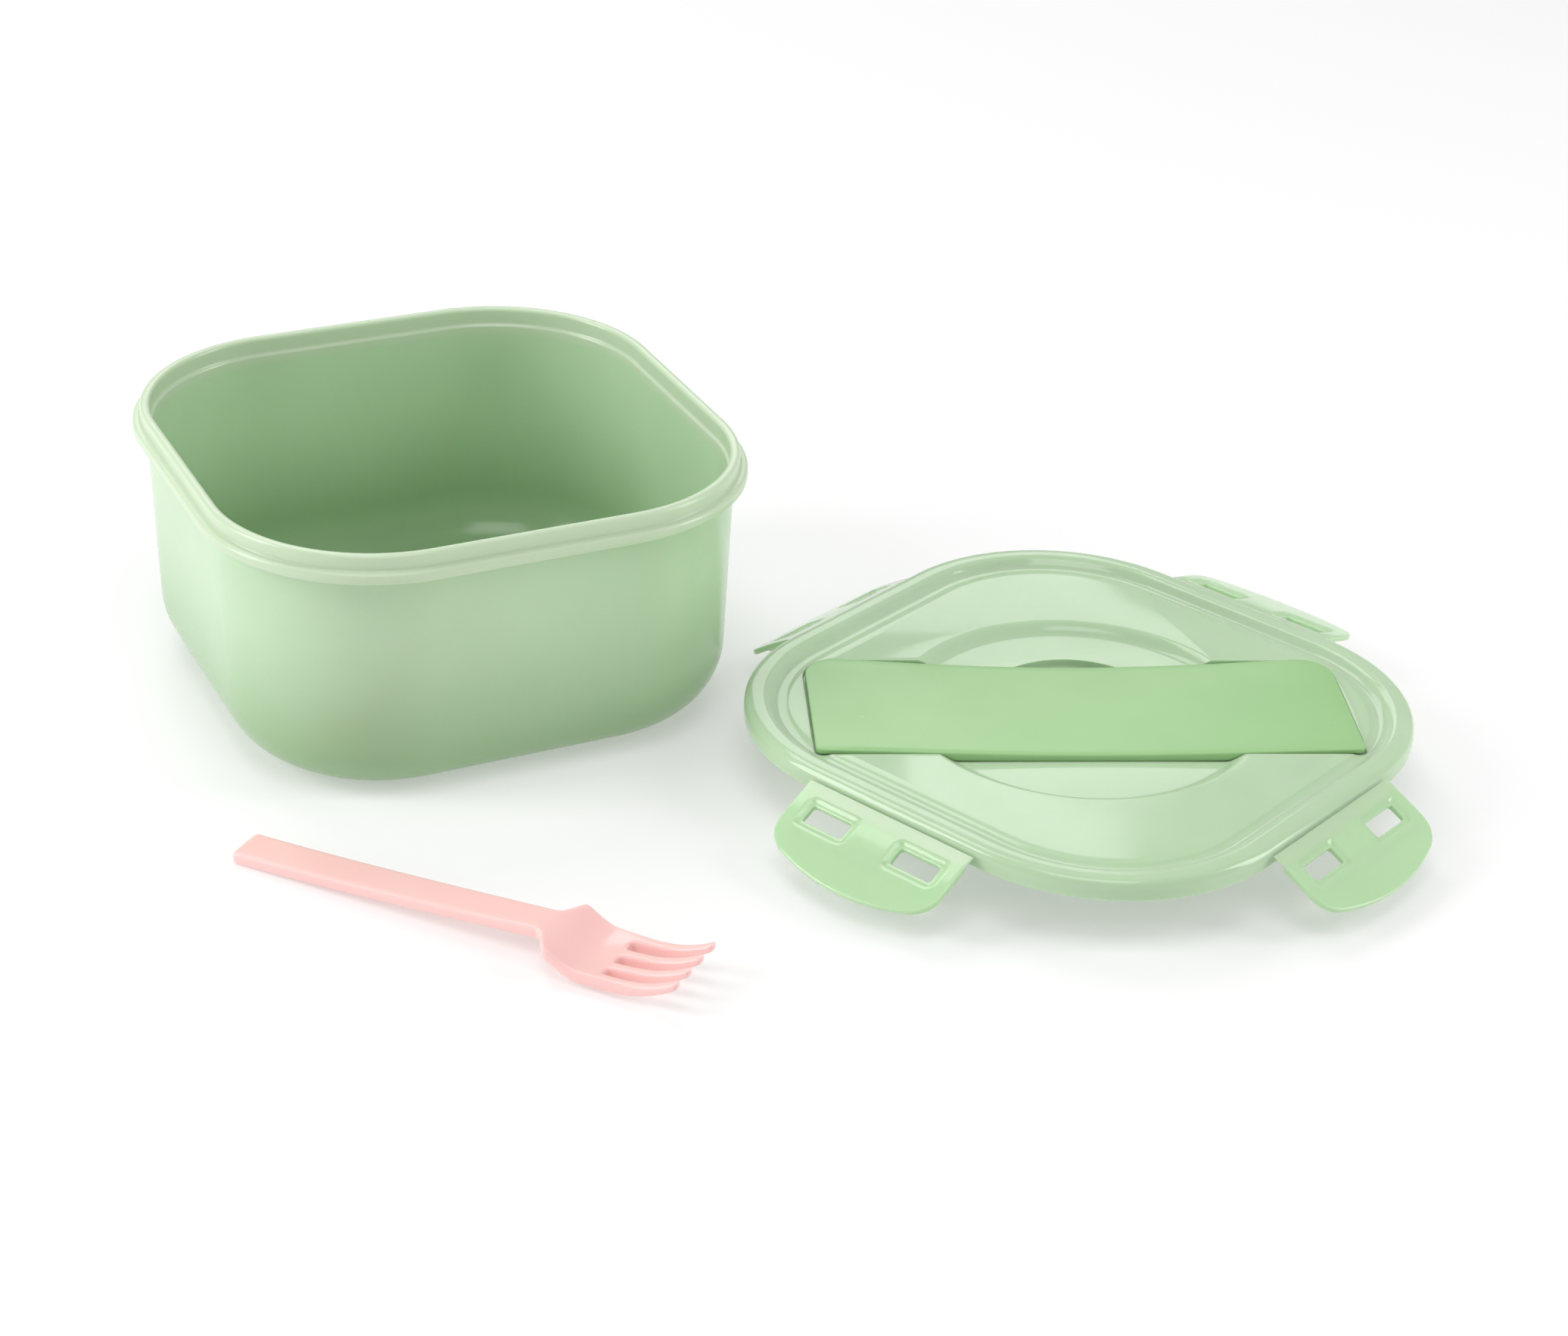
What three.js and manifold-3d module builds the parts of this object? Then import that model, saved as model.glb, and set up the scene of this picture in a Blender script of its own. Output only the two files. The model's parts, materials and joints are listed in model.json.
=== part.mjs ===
// Square food bowl with a snap lid and a fork.
// The lid lies beside the bowl, right side up, with its four latch flaps open.
// Origin: centre of the bowl's underside. Millimetres, +Z up.

import * as THREE from 'three';
import { mergeVertices } from 'three/addons/utils/BufferGeometryUtils.js';
import Module from 'manifold-3d';

const wasm = await Module();
wasm.setup();

// Every ring of the bowl and the lid is a rounded square. All share these corner centres,
// so each ring is an offset of the next and the two rims nest all the way round.
const CORNER_CENTRE = 29;
const CORNER_STEPS = 9;
const ARC_STEPS = 3;

// Bowl: half-sizes are measured from the centre to a straight side.
const BOWL_HEIGHT = 79;
const BOWL_BASE_HALF = 74.6;
const BOWL_BODY_HALF = 76;
const BOWL_FLANGE_HALF = 80;
const BOWL_BEAD_HALF = 77.7;
const BOWL_MOUTH_HALF = 74.8;
const BOWL_WALL = 1.9;
const BOWL_BASE_FILLET = 19;
const BOWL_FLANGE_UNDERSIDE = BOWL_HEIGHT - 7.7;
const BOWL_FLANGE_TOP = BOWL_HEIGHT - 4.4;
const BOWL_STEP_BELOW_TOP = 5;
const BOWL_EDGE_ROUND = 0.7;

// Lid: heights are measured from the top of its flat panel.
const LID_CENTRE = new THREE.Vector2(145.3, -126.6);
const LID_YAW = THREE.MathUtils.degToRad(23);
const LID_HALF = 83.4;
const LID_SHEET = 1.6;
const LID_PANEL_HALF = 70.4;
const LID_MOAT_DEPTH = 0.6;
const LID_MOAT_SLOPE = 1.2;
const LID_RIM_FOOT_HALF = 75.2;
const LID_RIM_SHOULDER_HALF = 76.6;
const LID_RIM_CREST_HALF = 78;
const LID_RIM_CREST_END_HALF = 79.4;
const LID_RIM_TOP = 2;
const LID_RIM_EDGE_HEIGHT = -1.7;
const LID_RIM_ROUNDING = 2.4;
const LID_CHANNEL_CEILING = 0.4;
const LID_CHANNEL_SLOPE_FOOT = -3.7;
const LID_CHANNEL_INNER_HALF = 77;
const LID_PLUG_HALF = 73.6;
const LID_PLUG_DEPTH = 8.7;
const LID_SKIRT_DEPTH = 4;
const LID_SKIRT_THICKNESS = 1.8;
const LID_SKIRT_CHAMFER = 0.6;
const LID_SEAL_RIB_HALF = 78.9;
const LID_SEAL_RIB = 1.2;
const LID_SEAL_RIB_BOTTOM = -2.5;
const LID_DISH_FLOOR_RADIUS = 46;
const LID_DISH_RADIUS = 51.5;
const LID_DISH_DEPTH = 2.7;
const LID_DISH_UNDERSIDE_MARGIN = 1;
const LID_JOIN_CLEARANCE = 0.1;

// Seal ring in the channel under the lid's rim.
const SEAL_INNER_HALF = 74.2;
const SEAL_TOP_INNER_HALF = 77.2;
const SEAL_OUTER_HALF = 78.5;
const SEAL_SLOPE_FOOT = -3.5;
const SEAL_TOP = LID_CHANNEL_CEILING - 0.4;
const SEAL_BOTTOM = -4.4;
const SEAL_EDGE_ROUND = 0.8;

// Fork compartment: a tray along the lid's diagonal, open at the top.
const TRAY_ANGLE = -Math.PI / 4;
const TRAY_DEPTH = 20.5;
const TRAY_WALL = 1.6;
const TRAY_LENGTH = 146;
const TRAY_CORNER = 9;
const TRAY_EDGE_ROUND = 4;
const TRAY_SIDE_DRAFT = 0.18;
const NOTCH_RADIUS = 26;
const NOTCH_REACH = 32;
const NOTCH_DEPTH = 5.5;

// Compartment cover: hinged along its near long edge. It sags between its ends, where it
// stands a little above the panel, and most along its free edge.
const COVER_LENGTH = 154;
const COVER_WIDTH = 52.5;
const COVER_SHEET = 1.5;
const COVER_RISE = 1;
const COVER_FREE_SAG = 3.2;
const COVER_HINGE_SAG = 1.8;
const COVER_SAG_POWER = 1.5;
const COVER_GAP = 0.5;
const COVER_FREE_CORNER = 10;
const COVER_HINGE_CORNER = 2;
const COVER_LEDGE_DEPTH = 1.2;
const COVER_CLEARANCE_DEPTH = COVER_SHEET + COVER_FREE_SAG - COVER_RISE + 0.8;

// Latch flaps: x runs outwards from the hinge line, y along it.
const FLAP_HINGE_HALF = 84.3;
const FLAP_HINGE_HEIGHT = -0.3;
const FLAP_WIDTH = 56;
const FLAP_LENGTH = 26;
const FLAP_SHEET = 1.7;
const FLAP_WEB = 0.4;
const FLAP_WEB_LENGTH = 4.4;
const FLAP_BOW = 2.2;
const FLAP_CORNER = 6;
const FLAP_CORNER_SET_BACK = 2.5;
const FLAP_ARC_DROP = 3.8;
const SLOT_CENTRE_X = 9.2;
const SLOT_CENTRE_Y = 15.2;
const SLOT_LENGTH = 13.5;
const SLOT_WIDTH = 5.3;
const POCKET_MARGIN = 2;
const POCKET_CORNER = 2;
const POCKET_DEPTH = 1;
const POCKET_SHIFT = 0.6;
const BULGE_MARGIN = POCKET_MARGIN + 0.6;
const BULGE_CORNER = 2.5;
const BULGE_DEPTH = 0.6;
const CATCH_DISTANCE = 14.2;
const CATCH_RADIUS = 1.9;
const CATCH_LENGTH = 48;
const FLAPS = [
  { name: 'latch_flap_back_right', turn: 0, droop: 13 },
  { name: 'latch_flap_back_left', turn: 1, droop: 30 },
  { name: 'latch_flap_front_left', turn: 2, droop: 24 },
  { name: 'latch_flap_front_right', turn: 3, droop: 24 },
];

// Fork: x runs from the handle's end to the tips of the tines.
const FORK_HANDLE_END = new THREE.Vector2(-86.6, -80.6);
const FORK_YAW = THREE.MathUtils.degToRad(-51.8);
const FORK_LENGTH = 137.2;
const FORK_NECK = 93.6;
const FORK_SHOULDER = 99.6;
const FORK_SLOT_START = 115.4;
const FORK_BELLY = 108.5;
const FORK_THICKNESS = 3.4;
const FORK_HEAD_THICKNESS = 3.9;
const FORK_TINE_THICKNESS = 2.6;
const FORK_ARCH = 5.8;
const FORK_ARCH_POWER = 1.34;
const FORK_TIP_RISE = 8;
const FORK_TIP_RISE_POWER = 2.6;
const FORK_CUP = 1.4;
const FORK_TINES = 4;
const FORK_TINE_WIDTH = 3.7;
const FORK_TINE_TIP_WIDTH = 2.6;
const FORK_TINE_OVERLAP = 4;
const FORK_PALM_STEPS = 38;
const FORK_HANDLE_HALF = 6.1;
const FORK_NECK_HALF = 5.4;
const FORK_SHOULDER_HALF = 12.1;
const FORK_TIP_HALF = 11.1;

// ---------- solids ----------

function withoutSlivers(geometry) {
  const index = geometry.index.array;
  const kept = [];
  for (let corner = 0; corner < index.length; corner += 3) {
    const [a, b, c] = index.slice(corner, corner + 3);
    if (a !== b && b !== c && c !== a) kept.push(a, b, c);
  }
  geometry.setIndex(kept);
  return geometry;
}

function toSolid(geometry) {
  geometry.deleteAttribute('normal');
  geometry.deleteAttribute('uv');
  const merged = withoutSlivers(mergeVertices(geometry, 1e-4));
  return new wasm.Manifold(new wasm.Mesh({
    numProp: 3,
    vertProperties: new Float32Array(merged.attributes.position.array),
    triVerts: new Uint32Array(merged.index.array),
  }));
}

function toGeometry(solid) {
  const mesh = solid.getMesh();
  const geometry = new THREE.BufferGeometry();
  geometry.setAttribute('position', new THREE.BufferAttribute(mesh.vertProperties, 3));
  geometry.setIndex(new THREE.BufferAttribute(mesh.triVerts, 1));
  geometry.computeVertexNormals();
  return geometry;
}

function block(lowX, highX, lowY, highY, lowZ, highZ) {
  const box = new THREE.BoxGeometry(highX - lowX, highY - lowY, highZ - lowZ);
  return box.translate((lowX + highX) / 2, (lowY + highY) / 2, (lowZ + highZ) / 2);
}

// A profile of (half-size, height) points carried round a rounded square.
// A point at half-size zero lies on the central axis.
function roundedSquareLathe(path) {
  const profile = path.getPoints(ARC_STEPS);
  const columnsPerCorner = CORNER_STEPS + 1;
  const columns = 4 * columnsPerCorner;
  const lathe = new THREE.LatheGeometry(profile, columns);
  const position = lathe.attributes.position;
  for (let column = 0; column <= columns; column += 1) {
    const corner = Math.floor(column / columnsPerCorner) % 4;
    const step = column % columnsPerCorner;
    const angle = (corner + step / CORNER_STEPS) * Math.PI / 2;
    const cornerAngle = (corner + 0.5) * Math.PI / 2;
    const centreX = CORNER_CENTRE * Math.sign(Math.cos(cornerAngle));
    const centreY = CORNER_CENTRE * Math.sign(Math.sin(cornerAngle));
    profile.forEach((point, row) => {
      const onAxis = point.x < 1;
      const radius = point.x - CORNER_CENTRE;
      const x = onAxis ? 0 : centreX + radius * Math.cos(angle);
      const y = onAxis ? 0 : centreY + radius * Math.sin(angle);
      position.setXYZ(column * profile.length + row, x, y, point.y);
    });
  }
  return lathe;
}

// A plate whose points are placed by a rule: along 0..1, across -1..1, up 0..1.
function shapedPlate(alongSteps, acrossSteps, place) {
  const box = new THREE.BoxGeometry(1, 1, 1, alongSteps, acrossSteps, 1);
  const position = box.attributes.position;
  for (let index = 0; index < position.count; index += 1) {
    const along = position.getX(index) + 0.5;
    const across = 2 * position.getY(index);
    const up = position.getZ(index) + 0.5;
    const point = place(along, across, up);
    position.setXYZ(index, point.x, point.y, point.z);
  }
  return box;
}

function prism(shape, lowZ, highZ) {
  const settings = { depth: highZ - lowZ, bevelEnabled: false, curveSegments: 6 };
  return new THREE.ExtrudeGeometry(shape, settings).translate(0, 0, lowZ);
}

function roundedRectangle(halfX, halfY, lowCorner, highCorner) {
  const shape = new THREE.Shape();
  shape.moveTo(-halfX + lowCorner, -halfY);
  shape.lineTo(halfX - lowCorner, -halfY);
  shape.absarc(halfX - lowCorner, -halfY + lowCorner, lowCorner, -Math.PI / 2, 0);
  shape.lineTo(halfX, halfY - highCorner);
  shape.absarc(halfX - highCorner, halfY - highCorner, highCorner, 0, Math.PI / 2);
  shape.lineTo(-halfX + highCorner, halfY);
  shape.absarc(-halfX + highCorner, halfY - highCorner, highCorner, Math.PI / 2, Math.PI);
  shape.lineTo(-halfX, -halfY + lowCorner);
  shape.absarc(-halfX + lowCorner, -halfY + lowCorner, lowCorner, Math.PI, 1.5 * Math.PI);
  return shape;
}

// ---------- bowl ----------

function bowlSolid() {
  const round = BOWL_EDGE_ROUND;
  const filletCentre = BOWL_BASE_HALF - BOWL_BASE_FILLET;
  const stepHeight = BOWL_HEIGHT - BOWL_STEP_BELOW_TOP;
  const path = new THREE.Path();
  path.moveTo(0, 0);
  path.lineTo(filletCentre, 0);
  path.absarc(filletCentre, BOWL_BASE_FILLET, BOWL_BASE_FILLET, -Math.PI / 2, 0);
  path.lineTo(BOWL_BODY_HALF, BOWL_FLANGE_UNDERSIDE);
  path.lineTo(BOWL_FLANGE_HALF - round, BOWL_FLANGE_UNDERSIDE);
  path.lineTo(BOWL_FLANGE_HALF, BOWL_FLANGE_UNDERSIDE + round);
  path.lineTo(BOWL_FLANGE_HALF, BOWL_FLANGE_TOP - round);
  path.lineTo(BOWL_FLANGE_HALF - round, BOWL_FLANGE_TOP);
  path.lineTo(BOWL_BEAD_HALF, BOWL_FLANGE_TOP);
  path.lineTo(BOWL_BEAD_HALF, BOWL_HEIGHT - round);
  path.lineTo(BOWL_BEAD_HALF - round, BOWL_HEIGHT);
  path.lineTo(BOWL_MOUTH_HALF + round, BOWL_HEIGHT);
  path.lineTo(BOWL_MOUTH_HALF, BOWL_HEIGHT - round);
  path.lineTo(BOWL_MOUTH_HALF, stepHeight);
  path.lineTo(BOWL_BODY_HALF - BOWL_WALL, stepHeight - round);
  path.lineTo(BOWL_BASE_HALF - BOWL_WALL, BOWL_BASE_FILLET);
  path.absarc(filletCentre, BOWL_BASE_FILLET, BOWL_BASE_FILLET - BOWL_WALL, 0, -Math.PI / 2, true);
  path.lineTo(0, BOWL_WALL);
  return toSolid(roundedSquareLathe(path));
}

// ---------- lid ----------

function lidShellPath() {
  const plugInner = LID_PLUG_HALF - LID_SHEET;
  const ribOuter = LID_SEAL_RIB_HALF + LID_SEAL_RIB;
  const skirtInner = LID_HALF - LID_SKIRT_THICKNESS;
  const channelRound = 0.5;
  const path = new THREE.Path();
  path.moveTo(0, -LID_SHEET);
  path.lineTo(plugInner, -LID_SHEET);
  path.lineTo(plugInner, -LID_PLUG_DEPTH);
  path.lineTo(LID_PLUG_HALF, -LID_PLUG_DEPTH);
  path.lineTo(LID_PLUG_HALF, LID_CHANNEL_SLOPE_FOOT);
  path.lineTo(LID_CHANNEL_INNER_HALF, LID_CHANNEL_CEILING);
  path.lineTo(LID_SEAL_RIB_HALF, LID_CHANNEL_CEILING);
  path.lineTo(LID_SEAL_RIB_HALF, LID_SEAL_RIB_BOTTOM);
  path.lineTo(ribOuter, LID_SEAL_RIB_BOTTOM);
  path.lineTo(ribOuter, LID_CHANNEL_CEILING - channelRound);
  path.lineTo(ribOuter + channelRound, LID_CHANNEL_CEILING - 2 * channelRound);
  path.lineTo(skirtInner, LID_RIM_EDGE_HEIGHT);
  path.lineTo(skirtInner, -LID_SKIRT_DEPTH);
  path.lineTo(LID_HALF - LID_SKIRT_CHAMFER, -LID_SKIRT_DEPTH);
  path.lineTo(LID_HALF, -LID_SKIRT_DEPTH + LID_SKIRT_CHAMFER);
  path.lineTo(LID_HALF, LID_RIM_EDGE_HEIGHT);
  path.bezierCurveTo(LID_HALF, LID_RIM_EDGE_HEIGHT + LID_RIM_ROUNDING,
    LID_RIM_CREST_END_HALF + LID_RIM_ROUNDING, LID_RIM_TOP, LID_RIM_CREST_END_HALF, LID_RIM_TOP);
  path.lineTo(LID_RIM_CREST_HALF, LID_RIM_TOP);
  path.lineTo(LID_RIM_SHOULDER_HALF, LID_RIM_TOP - channelRound);
  path.lineTo(LID_RIM_FOOT_HALF, 0);
  path.lineTo(LID_RIM_FOOT_HALF - LID_MOAT_SLOPE, -LID_MOAT_DEPTH);
  path.lineTo(LID_PANEL_HALF + LID_MOAT_SLOPE, -LID_MOAT_DEPTH);
  path.lineTo(LID_PANEL_HALF, 0);
  path.lineTo(0, 0);
  return path;
}

// A block along x that narrows below the cover, for the tray's outside or its inside.
function trayBlock(halfX, halfY, corner, lowZ, highZ) {
  const shape = roundedRectangle(halfX, halfY, corner, corner);
  const settings = {
    depth: highZ - lowZ - 2 * TRAY_EDGE_ROUND,
    bevelThickness: TRAY_EDGE_ROUND,
    bevelSize: TRAY_EDGE_ROUND,
    bevelOffset: -TRAY_EDGE_ROUND,
    bevelSegments: 3,
    curveSegments: 6,
    steps: 8,
  };
  const geometry = new THREE.ExtrudeGeometry(shape, settings);
  geometry.translate(0, 0, lowZ + TRAY_EDGE_ROUND);
  const position = geometry.attributes.position;
  for (let index = 0; index < position.count; index += 1) {
    const belowCover = Math.max(0, -position.getZ(index) - COVER_CLEARANCE_DEPTH);
    const depth = belowCover / (TRAY_DEPTH - COVER_CLEARANCE_DEPTH);
    position.setY(index, position.getY(index) * (1 - TRAY_SIDE_DRAFT * depth));
  }
  return geometry.rotateZ(TRAY_ANGLE);
}

function notchCylinder(radius, depth, highZ) {
  const cylinder = new THREE.CylinderGeometry(radius, radius, depth + highZ, 32);
  cylinder.rotateX(Math.PI / 2);
  cylinder.translate(0, NOTCH_REACH - NOTCH_RADIUS, (highZ - depth) / 2);
  return cylinder.rotateZ(TRAY_ANGLE);
}

// A disc with sloping sides, for the dish in the panel: its top is wider than its floor.
function dishDisc(floorRadius, lowZ, highZ) {
  const height = highZ - lowZ;
  const slope = (LID_DISH_RADIUS - LID_DISH_FLOOR_RADIUS) / LID_DISH_DEPTH;
  const disc = new THREE.CylinderGeometry(floorRadius + slope * height, floorRadius, height, 64);
  return disc.rotateX(Math.PI / 2).translate(0, 0, (lowZ + highZ) / 2);
}

function lidShellSolid() {
  const above = 10;
  const openingHalfY = COVER_WIDTH / 2 + COVER_GAP;
  const trayHalfX = TRAY_LENGTH / 2;
  const coverOpening = roundedRectangle(
    COVER_LENGTH / 2 + COVER_GAP, openingHalfY, COVER_HINGE_CORNER, COVER_FREE_CORNER);
  const ledgeBlock = roundedRectangle(
    COVER_LENGTH / 2 + COVER_GAP + TRAY_WALL, openingHalfY + TRAY_WALL,
    COVER_HINGE_CORNER, COVER_FREE_CORNER);
  const insidePlug = new THREE.Path();
  insidePlug.moveTo(0, -TRAY_DEPTH - 1);
  insidePlug.lineTo(LID_PLUG_HALF - LID_JOIN_CLEARANCE, -TRAY_DEPTH - 1);
  insidePlug.lineTo(LID_PLUG_HALF - LID_JOIN_CLEARANCE, -LID_JOIN_CLEARANCE);
  insidePlug.lineTo(0, -LID_JOIN_CLEARANCE);
  const ledgeUnderside = -COVER_LEDGE_DEPTH - TRAY_WALL;
  const underPanel = toSolid(prism(ledgeBlock, ledgeUnderside, above).rotateZ(TRAY_ANGLE))
    .add(toSolid(trayBlock(trayHalfX + TRAY_WALL, openingHalfY + TRAY_WALL,
      TRAY_CORNER + TRAY_WALL, -TRAY_DEPTH, above)))
    .add(toSolid(dishDisc(LID_DISH_FLOOR_RADIUS + LID_DISH_UNDERSIDE_MARGIN,
      -LID_DISH_DEPTH - LID_SHEET, above)))
    .add(toSolid(notchCylinder(NOTCH_RADIUS + TRAY_WALL, NOTCH_DEPTH + TRAY_WALL, above)))
    .intersect(toSolid(roundedSquareLathe(insidePlug)));
  return toSolid(roundedSquareLathe(lidShellPath()))
    .add(underPanel)
    .subtract(toSolid(dishDisc(LID_DISH_FLOOR_RADIUS, -LID_DISH_DEPTH, 1)))
    .subtract(toSolid(prism(coverOpening, -COVER_LEDGE_DEPTH, above).rotateZ(TRAY_ANGLE)))
    .subtract(toSolid(trayBlock(trayHalfX, openingHalfY, TRAY_CORNER, TRAY_WALL - TRAY_DEPTH, above)))
    .subtract(toSolid(notchCylinder(NOTCH_RADIUS, NOTCH_DEPTH, above)));
}

function sealSolid() {
  const round = SEAL_EDGE_ROUND;
  const path = new THREE.Path();
  path.moveTo(SEAL_INNER_HALF, SEAL_SLOPE_FOOT);
  path.lineTo(SEAL_INNER_HALF + round, SEAL_BOTTOM);
  path.lineTo(SEAL_OUTER_HALF - round, SEAL_BOTTOM);
  path.lineTo(SEAL_OUTER_HALF, SEAL_BOTTOM + round);
  path.lineTo(SEAL_OUTER_HALF, SEAL_TOP);
  path.lineTo(SEAL_TOP_INNER_HALF, SEAL_TOP);
  path.closePath();
  return toSolid(roundedSquareLathe(path));
}

function coverSolid() {
  const plate = shapedPlate(20, 4, (along, across, up) => {
    const sagHere = COVER_HINGE_SAG + (COVER_FREE_SAG - COVER_HINGE_SAG) * (across + 1) / 2;
    const sag = sagHere * (1 - (2 * along - 1) ** 2) ** COVER_SAG_POWER;
    return new THREE.Vector3(
      (along - 0.5) * COVER_LENGTH,
      across * COVER_WIDTH / 2,
      COVER_RISE + (up - 1) * COVER_SHEET - sag,
    );
  });
  const outline = roundedRectangle(
    COVER_LENGTH / 2, COVER_WIDTH / 2, COVER_HINGE_CORNER, COVER_FREE_CORNER);
  const cut = toSolid(prism(outline, -10, 5));
  return toSolid(plate).intersect(cut);
}

// ---------- latch flaps ----------

function flapBow(x) {
  return FLAP_BOW * (x / FLAP_LENGTH) ** 2;
}

function flapOutline() {
  const half = FLAP_WIDTH / 2;
  const cornerEnd = FLAP_LENGTH - FLAP_ARC_DROP;
  const cornerControl = cornerEnd - FLAP_CORNER_SET_BACK;
  const cornerStart = cornerControl - FLAP_CORNER;
  const shape = new THREE.Shape();
  shape.moveTo(0, -half);
  shape.lineTo(cornerStart, -half);
  shape.quadraticCurveTo(cornerControl, -half, cornerEnd, -half + FLAP_CORNER);
  shape.quadraticCurveTo(FLAP_LENGTH + FLAP_ARC_DROP, 0, cornerEnd, half - FLAP_CORNER);
  shape.quadraticCurveTo(cornerControl, half, cornerStart, half);
  shape.lineTo(0, half);
  return shape;
}

function flapSolid() {
  const reach = FLAP_LENGTH + 2;
  const half = FLAP_WIDTH / 2;
  const plate = shapedPlate(8, 1, (along, across, up) => new THREE.Vector3(
    along * reach, across * (half + 1), (up - 1) * FLAP_SHEET - flapBow(along * reach)));
  const slotTop = -flapBow(SLOT_CENTRE_X);
  const bead = new THREE.CylinderGeometry(CATCH_RADIUS, CATCH_RADIUS, CATCH_LENGTH, 16);
  bead.translate(CATCH_DISTANCE, 0, -flapBow(CATCH_DISTANCE) - FLAP_SHEET);
  let solid = toSolid(plate).intersect(toSolid(prism(flapOutline(), -10, 5)));
  solid = solid.add(toSolid(bead));
  for (const side of [-1, 1]) {
    const centreY = side * SLOT_CENTRE_Y;
    const bulge = roundedRectangle(
      SLOT_WIDTH / 2 + BULGE_MARGIN, SLOT_LENGTH / 2 + BULGE_MARGIN, BULGE_CORNER, BULGE_CORNER);
    const pocket = roundedRectangle(
      SLOT_WIDTH / 2 + POCKET_MARGIN, SLOT_LENGTH / 2 + POCKET_MARGIN, POCKET_CORNER, POCKET_CORNER);
    const slot = block(
      SLOT_CENTRE_X - SLOT_WIDTH / 2, SLOT_CENTRE_X + SLOT_WIDTH / 2,
      centreY - SLOT_LENGTH / 2, centreY + SLOT_LENGTH / 2, -10, 5);
    const bulgePrism = prism(bulge, slotTop - FLAP_SHEET - BULGE_DEPTH, slotTop - POCKET_DEPTH);
    const pocketPrism = prism(pocket, slotTop - POCKET_DEPTH, slotTop + 3);
    solid = solid
      .add(toSolid(bulgePrism.translate(SLOT_CENTRE_X - POCKET_SHIFT, centreY, 0)))
      .subtract(toSolid(pocketPrism.translate(SLOT_CENTRE_X - POCKET_SHIFT, centreY, 0)))
      .subtract(toSolid(slot));
  }
  const underWeb = block(-1, FLAP_WEB_LENGTH, -half - 1, half + 1, -10, -FLAP_WEB);
  return solid.subtract(toSolid(underWeb));
}

// ---------- fork ----------

function smoothStep(from, to, x) {
  return THREE.MathUtils.smoothstep(x, from, to);
}

function forkHalfWidth(x) {
  const handle = FORK_HANDLE_HALF + (FORK_NECK_HALF - FORK_HANDLE_HALF) * x / FORK_NECK;
  const head = FORK_SHOULDER_HALF
    + (FORK_TIP_HALF - FORK_SHOULDER_HALF) * (x - FORK_SHOULDER) / (FORK_LENGTH - FORK_SHOULDER);
  const blend = smoothStep(FORK_NECK, FORK_SHOULDER, x);
  return handle * (1 - blend) + head * blend;
}

function forkUnderside(x) {
  if (x < FORK_NECK) return FORK_ARCH * (x / FORK_NECK) ** FORK_ARCH_POWER;
  if (x < FORK_BELLY) return FORK_ARCH * (1 - smoothStep(FORK_NECK, FORK_BELLY, x));
  return FORK_TIP_RISE * ((x - FORK_BELLY) / (FORK_LENGTH - FORK_BELLY)) ** FORK_TIP_RISE_POWER;
}

function forkCup(x, y) {
  const depth = FORK_CUP * smoothStep(FORK_NECK, FORK_SHOULDER, x)
    * (1 - smoothStep(FORK_SHOULDER, FORK_LENGTH, x));
  return depth * (y / FORK_SHOULDER_HALF) ** 2;
}

function forkThickness(x) {
  const tine = Math.max(0, (x - FORK_SLOT_START) / (FORK_LENGTH - FORK_SLOT_START));
  return FORK_THICKNESS
    + (FORK_HEAD_THICKNESS - FORK_THICKNESS) * smoothStep(FORK_NECK, FORK_SHOULDER, x)
    + (FORK_TINE_THICKNESS - FORK_HEAD_THICKNESS) * tine;
}

function forkPoint(x, y, up) {
  return new THREE.Vector3(x, y, forkUnderside(x) + forkCup(x, y) + up * forkThickness(x));
}

function forkSolid() {
  const palmEnd = FORK_SLOT_START;
  let solid = toSolid(shapedPlate(FORK_PALM_STEPS, 6, (along, across, up) => {
    const x = along * palmEnd;
    return forkPoint(x, across * forkHalfWidth(x), up);
  }));
  for (let tine = 0; tine < FORK_TINES; tine += 1) {
    const place = (2 * tine + 1) / FORK_TINES - 1;
    solid = solid.add(toSolid(shapedPlate(8, 1, (along, across, up) => {
      const x = palmEnd - FORK_TINE_OVERLAP + along * (FORK_LENGTH - palmEnd + FORK_TINE_OVERLAP);
      const width = FORK_TINE_WIDTH + (FORK_TINE_TIP_WIDTH - FORK_TINE_WIDTH) * along;
      const spread = (forkHalfWidth(x) - width / 2) / (1 - 1 / FORK_TINES);
      const y = place * spread + across * width / 2;
      return forkPoint(x, y, up);
    })));
  }
  return solid;
}

// ---------- assembly ----------

function named(name, solid, color, roughness) {
  const material = new THREE.MeshStandardMaterial({ color, roughness, metalness: 0 });
  const mesh = new THREE.Mesh(toGeometry(solid), material);
  mesh.name = name;
  return mesh;
}

function lidGroup() {
  const lid = new THREE.Group();
  lid.position.set(LID_CENTRE.x, LID_CENTRE.y, TRAY_DEPTH);
  lid.rotation.z = LID_YAW;
  lid.add(named('lid_shell', lidShellSolid(), '#c4e1bd', 0.3));
  lid.add(named('lid_seal', sealSolid(), '#e8efe4', 0.6));
  const cover = named('fork_compartment_cover', coverSolid(), '#a8d499', 0.35);
  cover.rotation.z = TRAY_ANGLE;
  lid.add(cover);
  for (const flap of FLAPS) {
    const side = new THREE.Group();
    side.rotation.z = flap.turn * Math.PI / 2;
    const mesh = named(flap.name, flapSolid(), '#cde7c4', 0.3);
    mesh.position.set(FLAP_HINGE_HALF, 0, FLAP_HINGE_HEIGHT);
    mesh.rotation.y = THREE.MathUtils.degToRad(flap.droop);
    side.add(mesh);
    lid.add(side);
  }
  return lid;
}

function forkMesh() {
  const fork = named('fork', forkSolid(), '#fdc8c4', 0.35);
  fork.position.set(FORK_HANDLE_END.x, FORK_HANDLE_END.y, 0);
  fork.rotation.z = FORK_YAW;
  return fork;
}

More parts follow.
